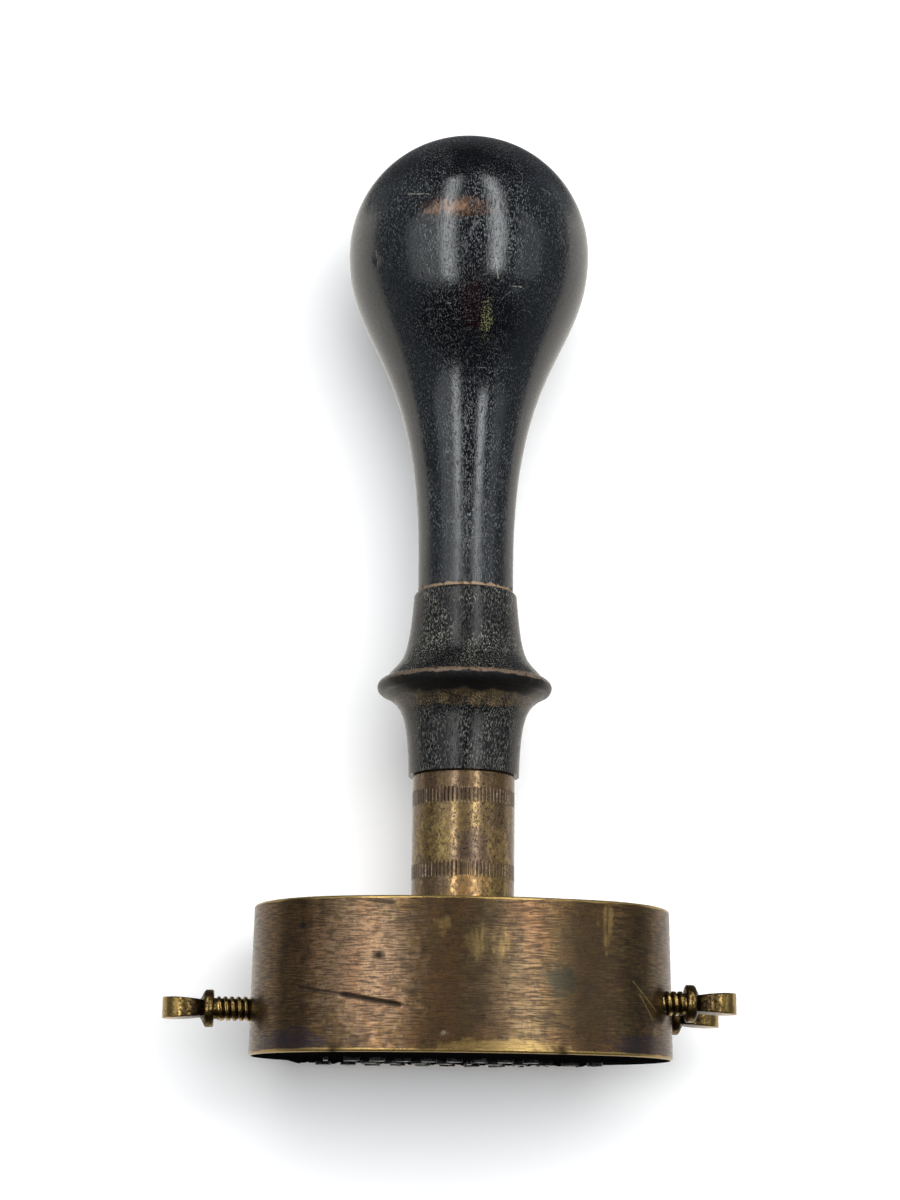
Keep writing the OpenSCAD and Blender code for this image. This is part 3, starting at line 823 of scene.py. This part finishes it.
class HeadOperator(bpy.types.Operator):
    """Carry the wall's profile round a four-centred oval, and cut three type channels into the underside."""

    bl_idname = "stamp.head"
    bl_label = "Head"

    def execute(self, context):
        brass, inked = context.scene.stamp_brass, context.scene.stamp_type
        head_l, head_w = (HEAD[1] - HEAD[0])[:2] - (0, 2 * brass.head_flat)
        edge, half = brass.head_edge, brass.channel_w / 2
        spans = [self.channel(line, brass) for line in LINES]
        edges = merged(*((middle - half, middle + half) for middle, _, _ in spans))
        inner_w = head_w / 2 - edge
        y = merged(-inner_w * np.cos(np.linspace(0, np.pi, 211)), edges)
        y[0], y[-1] = -inner_w, inner_w
        x, normal = oval(y, edge, brass.head_end_r, head_l, head_w)
        x[0] = x[-1] = 0.0
        loop = np.concatenate([np.column_stack([x, y]), np.column_stack([-x, y])[-2:0:-1]])
        out = np.concatenate([normal, (normal * (-1, 1))[-2:0:-1]])
        wall = self.wall(loop, out, edge, brass)
        floor = self.underside(x, y, edges, spans, inked.crust)
        wall[0, : len(y)], wall[0, len(y) :] = floor[:, -1], floor[-2:0:-1, 0]
        inward = np.broadcast_to(raised(-out, 0.0), wall.shape)
        gouges = [
            ([(-26.2, 10.6), (-18.9, 9.3)], 0.2, 0.1),
            ([(-19.6, 9.4), (-14.0, 8.4), (-11.0, 7.9)], 0.3, 0.2),
            ([(-11.0, 7.9), (-8.0, 7.5)], 0.16, 0.11),
            ([(-16.2, 23.7), (-12.1, 23.4)], 0.2, 0.06),
        ]
        wall, gouge = scored(wall, inward, gouges, wall[..., 1] < 0)
        dents = [
            ((-25.9, -15.8, 20.1), 0.7, 0.2),
            ((-14.2, -20.6, 15.3), 0.6, 0.18),
            ((-4.4, -22.0, 3.8), 0.4, 0.15),
            ((14.0, -20.6, 1.0), 0.8, 0.18),
            ((-21.0, -18.6, 1.0), 0.9, 0.2),
            ((27.5, 14.5, 15.0), 0.7, 0.18),
            ((-6.0, 21.9, 9.0), 0.7, 0.15),
        ]
        wall, dent = pressed(wall, inward, dents)
        floor[:, -1], floor[-2:0:-1, 0] = wall[0, : len(y)], wall[0, len(y) :]
        parts = [grid(wall, np.clip(np.maximum(gouge, dent), 0, 1)), *self.lower_grids(floor, y, spans, half)]
        finishes = [head_brass(brass), inked_metal("inked_brass", inked, 12 * MM, 0.9, 0.0)]
        piece("type_head", parts, finishes, "stamp", "head_brass", ["head"], crease=40.0)
        return {"FINISHED"}

    @staticmethod
    def channel(line, brass):
        """Middle and the two ends along X of a line's channel, read from its pieces' boxes."""
        stop = np.array(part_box(line + "_space_stop"))[:, 0]
        shoe = np.array(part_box(line + "_clamp_shoe"))[:, 0]
        right_room, left_room = 6.3 * MM, 5.7 * MM
        to_right, to_left = (stop[0], shoe[1] + right_room), (shoe[0] - left_room, stop[1])
        low, high = to_right if LINE_SIDE[line] > 0 else to_left
        return (LINES.index(line) - 1) * brass.line_pitch, low - GAP, high + GAP

    @staticmethod
    def wall(loop, out, edge, brass):
        """Rows of (offset, z) carried round the loop: rim edge, drafted wall, deck edge, deck and tenon socket."""
        a = np.radians(np.linspace(0, 90, 7))
        rim = np.column_stack([edge * np.sin(a), RIM_Z + edge * (1 - np.cos(a))])
        z = np.linspace(RIM_Z + edge, DECK_Z - edge, 130)[1:]
        side = np.column_stack([edge - math.tan(brass.head_draft) * (z - RIM_Z - edge), z])
        top = np.column_stack([side[-1, 0] - edge * (1 - np.cos(a)), DECK_Z - edge + edge * np.sin(a)])[1:]
        offset, height = np.vstack([rim, side, top]).T[:, :, None, None]
        spread = loop + offset * out
        towards = around(spread[-1])
        circle = (TENON_R + GAP) * np.column_stack([np.cos(towards), np.sin(towards)])
        t = np.linspace(0, 1, 9)[1:, None, None]
        deck = (1 - t) * spread[-1] + t * circle
        socket = raised(deck[-1:], POST[0, 2] - GAP)
        return np.concatenate([raised(spread, height), raised(deck, DECK_Z), socket, socket * (0, 0, 1)])

    @staticmethod
    def underside(x, y, edges, spans, crust):
        """Points across the oval at rim height; columns keep to the channel ends, and ink lumps hang below."""
        marks = merged(*((low, high) for _, low, high in spans))
        inner = merged(marks, np.linspace(marks[1], marks[-2], 132))
        reach = np.interp(edges[-1], y[len(y) // 2 :], x[len(y) // 2 :])
        narrow = np.where(np.abs(y) > edges[-1] + 1e-7, x / reach, 1.0)
        across = np.column_stack([-x, inner * narrow[:, None], x])
        along = np.broadcast_to(y[:, None], across.shape)
        ink = crust * lumps(across, along, 1.9 * MM)
        inside_edge, inside_lines = x[:, None] - np.abs(across), 14.5 * MM - np.abs(along)
        inside_left, inside_right = across + 28 * MM, 23.5 * MM - across
        for inside, fade in ((inside_edge, 2.5), (inside_lines, 3), (inside_left, 2), (inside_right, 2)):
            ink = ink * np.clip(inside / (fade * MM), 0, 1)
        return np.stack([across, along, RIM_Z - ink], -1)

    @staticmethod
    def lower_grids(floor, y, spans, half):
        """The underside without its channels, and each channel's walls and ceiling on the same points."""
        vertices, quads, worn, _ = grid(floor, closed=False)
        middle = floor.reshape(-1, 3)[quads].mean(1)
        mid_x = floor[len(y) // 2, :, 0]
        keep = np.ones(len(quads), bool)
        parts = []
        top_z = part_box("front_type_1")[1][2] + GAP
        tall = np.linspace(0, 1, 5)[:, None, None]
        for centre, low, high in spans:
            keep &= (np.abs(middle[:, 1] - centre) >= half) | (middle[:, 0] <= low) | (middle[:, 0] >= high)
            rows = np.flatnonzero(np.abs(y - centre) < half + 1e-6)
            columns = np.flatnonzero((mid_x > low - 1e-6) & (mid_x < high + 1e-6))
            block = floor[np.ix_(rows, columns)]
            roof = block * (1, 1, 0) + (0, 0, top_z)
            parts.append(grid(roof, finish=1, closed=False))
            for side in np.s_[0], np.s_[-1], np.s_[:, 0], np.s_[:, -1]:
                parts.append(grid((1 - tall) * block[side] + tall * roof[side], finish=1, closed=False))
        return [*parts, (vertices, quads[keep], worn, 1)]


class ThumbscrewsOperator(bpy.types.Operator):
    """Cut each thumbscrew: a helical thread, a collar, a waist and a flat round thumb piece."""

    bl_idname = "stamp.thumbscrews"
    bl_label = "Thumbscrews"

    def execute(self, context):
        brass = context.scene.stamp_brass
        finish = screw_brass(brass)
        for line in LINES:
            box = np.array(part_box(line + "_thumbscrew"))
            side = LINE_SIDE[line]
            nose, tip = sorted(side * box[:, 0])
            turn = next(joint for joint in frame["joints"] if joint["name"] == line + "_screw_turn")
            centre = (0.0, box[:, 1].mean(), turn["pos_m"][2])
            surfaces = self.shaft(nose, tip, brass), self.thumb(tip)
            parts = [grid(points * (side, 1.0, side) + centre, dirt) for points, dirt in surfaces]
            piece(line + "_screw", parts, [finish], line + "_screw", "screw_brass", [line + "_thumbscrew"], crease=50.0)
        return {"FINISHED"}

    @staticmethod
    def shaft(nose, tip, brass):
        """Radius by distance d: nose, thread with crests at d = pitch * turns, plain shank, collar, cone and waist."""
        collar, waist = tip - 8.1 * MM, tip - 5.6 * MM
        start, plain, crest = nose + 1.85 * MM, collar - 0.55 * MM, 1.925 * MM
        front = np.array([(0, 0), (0, 1.0), (0.2, 1.2), (1.85, 1.2), (1.85, 1.5)]) * MM + (nose, 0)
        thread = np.arange(start, plain, 0.065 * MM)
        back = [(-0.55, 1.66), (-0.05, 1.66), (0, 1.7), (0, 2.72), (0.2, 2.95), (1.2, 2.95), (1.45, 2.78)]
        back = np.array(back) * MM + (collar, 0)
        cone = np.array([(1.9, 2.0), (2.0, 1.36), (2.5, 1.34)]) * MM + (collar, 0)
        end = np.array([(1.6, 1.3), (1.6, 0.0)]) * MM + (waist, 0)
        threaded = np.column_stack([thread, np.full(len(thread), crest)])
        d, r = np.vstack([front, threaded, back, cubic(back[-1], *cone, 8)[1:], end]).T[:, :, None]
        t = np.linspace(0, 2 * np.pi, 44, endpoint=False)
        row = np.arange(len(d))[:, None] - len(front)
        cut = (row >= 0) & (row < len(thread))
        fade = np.clip((plain - d) / (0.4 * MM), 0, 1) * cut
        phase = (d / brass.thread_pitch - t / (2 * np.pi)) % 1.0
        valley = 0.5 + 0.5 * np.cos(np.pi * np.minimum(2 * np.abs(phase - 0.5) / 0.72, 1))
        radius = r - brass.thread_depth * valley * fade
        points = np.stack([np.broadcast_to(d, radius.shape), radius * np.cos(t), radius * np.sin(t)], -1)
        dirt = np.where(cut, 0.95 * valley * fade + 0.5 * (1 - fade), 0.55)
        return points, np.where(d > collar + 1.3 * MM, 0.72, dirt)

    @staticmethod
    def thumb(tip):
        """Rounded rectangles across the axis: a disc's chord wide, and slowly thicker towards the tip."""
        r, bevel, steps = 3.5 * MM, 0.26 * MM, 7
        a = np.linspace(np.pi * 0.95, 0.06, 64)
        d = tip - r + r * np.cos(a)
        d[-1] = tip
        wide = r * np.sin(a)
        thick = np.interp(d, tip - np.array([7.0, 6.0, 4.8, 2.0, 0.0]) * MM, [1.15, 1.3, 1.42, 1.62, 1.66]) * MM
        corner = np.minimum(bevel, np.minimum(wide, thick) * 0.9)
        t = np.radians(np.concatenate([np.linspace(q, q + 90, steps) for q in (0, 90, 180, 270)]))
        sign_y, sign_z = np.repeat([1, -1, -1, 1], steps), np.repeat([1, 1, -1, -1], steps)
        y = sign_y * (wide - corner)[:, None] + corner[:, None] * np.cos(t)
        z = sign_z * (thick - corner)[:, None] + corner[:, None] * np.sin(t)
        points = np.stack([np.broadcast_to(d[:, None], y.shape), y, z], -1)
        points = np.concatenate([points[:1] * (1, 0, 0), points, points[-1:] * (1, 0, 0)])
        along = tip - np.array([7.0, 5.0, 3.2, 2.0, 0.0]) * MM
        return points, np.interp(points[..., 0], along, [0.8, 0.72, 0.55, 0.3, 0.12])


class FittingsOperator(bpy.types.Operator):
    """Finish the pieces that keep their solids: tang, clamp shoes and spaces."""

    bl_idname = "stamp.fittings"
    bl_label = "Tang, shoes and spaces"

    def execute(self, context):
        shoes = shoe_brass(context.scene.stamp_brass)
        spaces = inked_metal("space_metal", context.scene.stamp_type, 9 * MM, 0.8, 0.3)
        self.finish("tang", tang_iron(), "tang_iron")
        for line in LINES:
            self.finish(line + "_clamp_shoe", shoes, "shoe_brass")
            for end in ("stop", "screw"):
                self.finish(f"{line}_space_{end}", spaces, "inked_type")
        return {"FINISHED"}

    @staticmethod
    def finish(node, material, slot):
        """Gives a solid of the frame one material."""
        made = frame["nodes"][node]
        made.data.materials.clear()
        made.data.materials.append(material)


class TypeOperator(bpy.types.Operator):
    """Cast each sort: a nicked body lofted from rectangles, with a plain raised figure below it."""

    bl_idname = "stamp.type"
    bl_label = "Type"

    def execute(self, context):
        inked = context.scene.stamp_type
        metal = inked_metal("type_metal", inked, 9 * MM, 0.8, 0.45)
        outlines = {figure: self.outline(figure, inked) for figure in "0123456789"}
        for line in LINES:
            for number, figure in enumerate(FIGURES[line], 1):
                node = f"{line}_type_{number}"
                low, high = np.array(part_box(node))
                middle = (low + high) / 2 * (1, 1, 0)
                parts = [grid(self.body(high - low, high[2], inked) + middle)]
                made = piece(f"{line}_sort_{number}", parts, [metal], f"{line}_line", "inked_type", [node], crease=30.0)
                vertices, faces = outlines[figure]
                self.raise_figure(made, vertices + middle, faces)
        return {"FINISHED"}

    @staticmethod
    def body(size, top_z, inked):
        """Rectangles stacked up Z, drawn in at both ends, and pushed in along the round nick."""
        bevel, play, base, columns = 0.12 * MM, 0.01 * MM, inked.face_h, 64
        fine = inked.nick_z + inked.nick_r * np.sin(np.radians(np.linspace(-90, 90, 13)))
        z = np.concatenate([[base, base, base + bevel, 8 * MM], fine, [top_z - bevel, top_z, top_z]])[:, None]
        inset = np.full((len(z), 1, 1), play)
        inset[[1, -2]] += bevel
        t = np.linspace(0, 2 * np.pi, columns, endpoint=False) + np.pi / columns
        square = np.column_stack([np.cos(t), np.sin(t)])
        square = square / np.abs(square).max(-1, keepdims=True)
        plan = square * (size[:2] / 2 - inset)
        plan[[0, -1]] = 0.0
        push = np.sqrt(np.clip(inked.nick_r**2 - (z - inked.nick_z) ** 2, 0, None))
        front = play - size[1] / 2 + push
        plan[..., 1] = np.where(push > 0, np.maximum(plan[..., 1], front), plan[..., 1])
        return raised(plan, z[..., None])

    @staticmethod
    def outline(figure, inked):
        """A plain figure as a solid between the printing face and the shoulder, centred on the origin."""
        curve = bpy.data.curves.new("figure", "FONT")
        curve.body, curve.extrude, curve.bevel_depth, curve.resolution_u = figure, 0.5, 0.02, 4
        holder = bpy.data.objects.new("figure", curve)
        bpy.context.scene.collection.objects.link(holder)
        bpy.context.view_layer.update()
        mesh = bpy.data.meshes.new_from_object(holder.evaluated_get(bpy.context.evaluated_depsgraph_get()))
        vertices = np.empty(len(mesh.vertices) * 3)
        mesh.vertices.foreach_get("co", vertices)
        vertices = vertices.reshape(-1, 3)
        faces = [tuple(face.vertices) for face in mesh.polygons]
        bpy.data.objects.remove(holder)
        bpy.data.curves.remove(curve)
        bpy.data.meshes.remove(mesh)
        low, high = vertices.min(0), vertices.max(0)
        size = np.array((inked.figure_w, inked.figure_h, inked.face_h + 0.1 * MM))
        scale = size / (high - low)
        if figure == "1":
            scale[0] = scale[1]
        return (vertices - (low + high) / 2) * scale + (0, 0, size[2] / 2), faces

    @staticmethod
    def raise_figure(made, vertices, faces):
        """Adds the figure's solid to the sort's mesh."""
        work = bmesh.new()
        work.from_mesh(made.data)
        corners = [work.verts.new(vertex) for vertex in vertices]
        for face in faces:
            work.faces.new([corners[i] for i in face]).smooth = False
        new = [face for face in work.faces if not face.smooth]
        bmesh.ops.remove_doubles(work, verts=corners, dist=0.002 * MM)
        bmesh.ops.recalc_face_normals(work, faces=[face for face in new if face.is_valid])
        work.to_mesh(made.data)
        work.free()


class StageOperator(bpy.types.Operator):
    """Lay the stamp on a white table before the photograph's camera, under two tall windows and a soft lamp."""

    bl_idname = "stamp.stage"
    bl_label = "Stage"

    def execute(self, context):
        scene, stage = context.scene, context.scene.stamp_stage
        scene.view_settings.view_transform = "Standard"
        self.camera(scene, stage)
        self.table(scene, stage)
        self.world(scene, stage)
        panes = (
            ("left_window", (-0.460, -1.0, 0.86), 0.26, 2.34, 9.8),
            ("right_window", (0.415, -1.0, 0.92), 0.26, 2.22, 10.1),
            ("left_wall", (-0.94, -0.7, 0.20), 0.98, 0.85, 1.9),
            ("right_wall", (1.20, -0.7, 0.25), 1.05, 0.85, 1.4),
        )
        for pane in panes:
            self.lamp(scene, *pane).visible_diffuse = False
        self.lamp(scene, "soft_lamp", (0.19, -0.95, 0.31), 1.2, 0.8, 18.0).visible_glossy = False
        return {"FINISHED"}

    @staticmethod
    def camera(scene, stage):
        """The fitted camera: set back along -Y, tilted up and rolled, then turned about the handle's axis."""
        made = bpy.data.objects.new("camera", bpy.data.cameras.new("camera"))
        made.data.lens, made.data.sensor_width = stage.lens, 36.0
        made.data.clip_start, made.data.clip_end = 0.01, 20.0
        turn = Matrix.Rotation(stage.turn, 4, "Z")
        aim = Matrix.Rotation(math.pi / 2 + stage.tilt, 4, "X") @ Matrix.Rotation(stage.roll, 4, "Z")
        made.matrix_world = turn @ Matrix.Translation((stage.aside, -stage.distance, stage.height)) @ aim
        scene.collection.objects.link(made)
        scene.camera = made

    @staticmethod
    def table(scene, stage):
        """A sheet behind the stamp that keeps its shadow and is plain white far out; from behind it is clear."""
        reach, y = 0.6, stage.table_y
        corners = [(-reach, y, -reach), (reach, y, -reach), (-reach, y, reach), (reach, y, reach)]
        mesh = bpy.data.meshes.new("table")
        mesh.from_pydata(corners, [], [(0, 1, 3, 2)])
        material = bpy.data.materials.new("table_white")
        tree = emptied(material)
        paint = add(tree, "BsdfDiffuse", inputs={"Color": stage.table})
        away = vector("LENGTH", add(tree, "TexCoord", "Object"), output="Value")
        strength = add(tree, "LightPath", "Is Camera Ray") * (away.eased(0.2, 0.4) + stage.glow)
        glow = add(tree, "Emission", inputs={"Color": (1, 1, 1, 1), "Strength": strength})
        lit = add(tree, "AddShader", inputs={0: paint, 1: glow})
        back = add(tree, "NewGeometry", "Backfacing")
        sheet = add(tree, "MixShader", inputs={0: back, 1: lit, 2: add(tree, "BsdfTransparent")})
        add(tree, "OutputMaterial", inputs={"Surface": sheet})
        mesh.materials.append(material)
        made = bpy.data.objects.new("table", mesh)
        scene.collection.objects.link(made)
        made.visible_diffuse = made.visible_glossy = made.visible_transmission = made.visible_shadow = False
        made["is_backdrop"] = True

    @staticmethod
    def world(scene, stage):
        """White to the camera; to other rays pale behind, lit walls aside, dim ahead and dark below."""
        scene.world = bpy.data.worlds.new("room")
        tree = emptied(scene.world)
        towards = add(tree, "TexCoord", "Generated")
        x, y, z = (towards.axis(name) for name in "XYZ")
        room = mixed(abs(x).eased(0.5, 0.66), stage.room, stage.wall)
        above = z.eased(-0.46, -0.34) * z.eased(0.80, 0.92, 1.0, 0.35)
        room = mixed(above, stage.shade, room)
        behind = y.eased(0.235, 0.285) * z.eased(0.42, 0.58, 1.0, 0.06)
        room = mixed(behind, room, stage.pale)
        camera_ray = add(tree, "LightPath", "Is Camera Ray")
        seen = camera_ray.maths("MAXIMUM", camera_ray.also("Is Transmission Ray"))
        light = add(tree, "Background", inputs={"Color": mixed(seen, room, (1, 1, 1, 1)), "Strength": 1.0})
        add(tree, "OutputWorld", inputs={"Surface": light})

    @staticmethod
    def lamp(scene, name, place, width, tall, power):
        """A flat light that faces the table."""
        light = bpy.data.lights.new(name, "AREA")
        light.shape, light.size, light.size_y, light.energy = "RECTANGLE", width, tall, power
        made = bpy.data.objects.new(name, light)
        made.matrix_world = Matrix.Translation(place) @ Matrix.Rotation(math.pi / 2, 4, "X")
        scene.collection.objects.link(made)
        return made


class StampPanel(bpy.types.Panel):
    """Lists the stamp's pieces with their sizes and colours."""

    bl_idname = "VIEW3D_PT_stamp"
    bl_label = "Hand stamp"
    bl_space_type = "VIEW_3D"
    bl_region_type = "UI"
    bl_category = "Hand stamp"

    def draw(self, context):
        for operator in OPERATORS:
            self.layout.operator(operator.bl_idname)
        for group_name in GROUPS:
            box = self.layout.box()
            settings = getattr(context.scene, group_name)
            for name in settings.__annotations__:
                box.prop(settings, name)


GROUPS = {
    "stamp_handle": StampHandle,
    "stamp_brass": StampBrass,
    "stamp_type": StampType,
    "stamp_stage": StampStage,
}
OPERATORS = (
    GripOperator,
    CollarOperator,
    PostOperator,
    HeadOperator,
    ThumbscrewsOperator,
    FittingsOperator,
    TypeOperator,
    StageOperator,
)
CLASSES = (*GROUPS.values(), *OPERATORS, StampPanel)


def register():
    """Registers the classes and puts the settings on the scene."""
    for made in CLASSES:
        bpy.utils.register_class(made)
    for name, kind in GROUPS.items():
        setattr(bpy.types.Scene, name, PointerProperty(type=kind))


def unregister():
    """Takes the settings and the classes away again."""
    for name in GROUPS:
        delattr(bpy.types.Scene, name)
    for made in reversed(CLASSES):
        bpy.utils.unregister_class(made)


def main():
    """Builds every piece in order and works out the size of the frame and of the finished stamp."""
    register()
    bpy.ops.stamp.grip()
    bpy.ops.stamp.collar()
    bpy.ops.stamp.post()
    bpy.ops.stamp.head()
    bpy.ops.stamp.thumbscrews()
    bpy.ops.stamp.fittings()
    bpy.ops.stamp.type()
    bpy.ops.stamp.stage()
    sizes = {"cad": [list(corner) for corner in cad_box], "visual": [list(corner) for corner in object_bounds()]}


if __name__ == "__main__":
    main()
